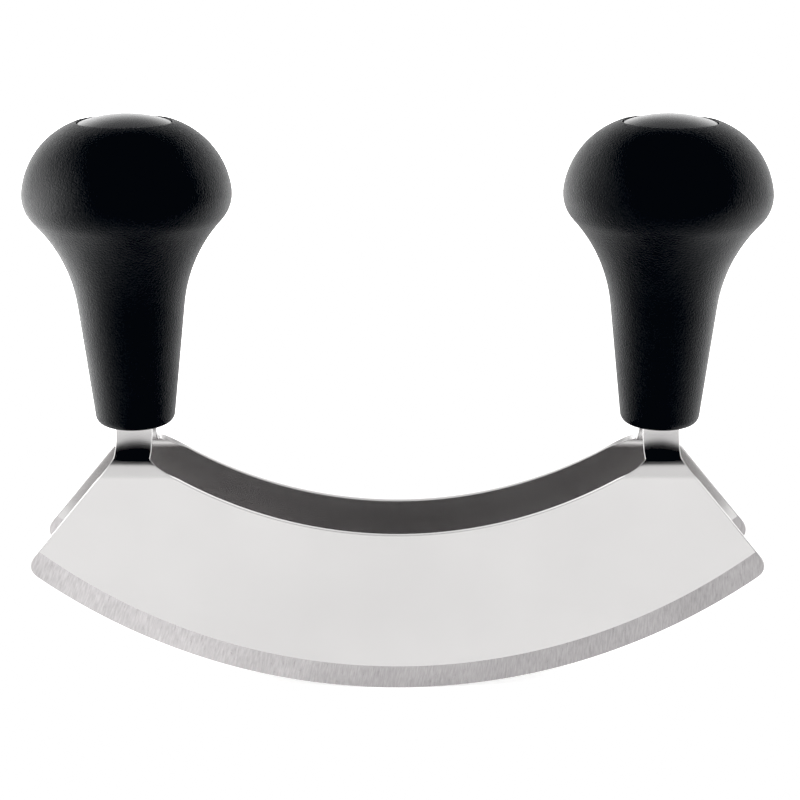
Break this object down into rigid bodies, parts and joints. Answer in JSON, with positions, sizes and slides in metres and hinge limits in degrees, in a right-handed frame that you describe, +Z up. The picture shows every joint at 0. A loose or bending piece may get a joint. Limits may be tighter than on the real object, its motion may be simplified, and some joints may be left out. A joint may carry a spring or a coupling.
{
  "type": "mezzaluna",
  "caption": "Hand chopper with parallel crescent steel blades, rocked on their curved cutting edges by upright mushroom-shaped knob grips with inset domed caps.",
  "frame": {"origin": "midway between the two blades, level with the lowest points of the cutting edges", "axes": "+X along the blades to the right grip, +Y from the front blade to the rear blade, +Z up along the grips"},
  "size_m": [0.15, 0.0416, 0.1177],
  "materials": {
    "blade_steel": "satin stainless sheet with a ground bevel along the cutting edge",
    "grip_plastic": "matte black moulded plastic with a fine grain",
    "cap_plastic": "satin black moulded plastic",
    "fastener_steel": "zinc-plated steel"
  },
  "bodies": {
    "root": {"front_blade": "blade_steel", "rear_blade": "blade_steel", "left_grip": "grip_plastic", "right_grip": "grip_plastic", "left_cap": "cap_plastic", "right_cap": "cap_plastic", "left_screw": "fastener_steel", "right_screw": "fastener_steel", "left_washer": "fastener_steel", "right_washer": "fastener_steel", "left_nut": "fastener_steel", "right_nut": "fastener_steel"}
  },
  "joints": []
}
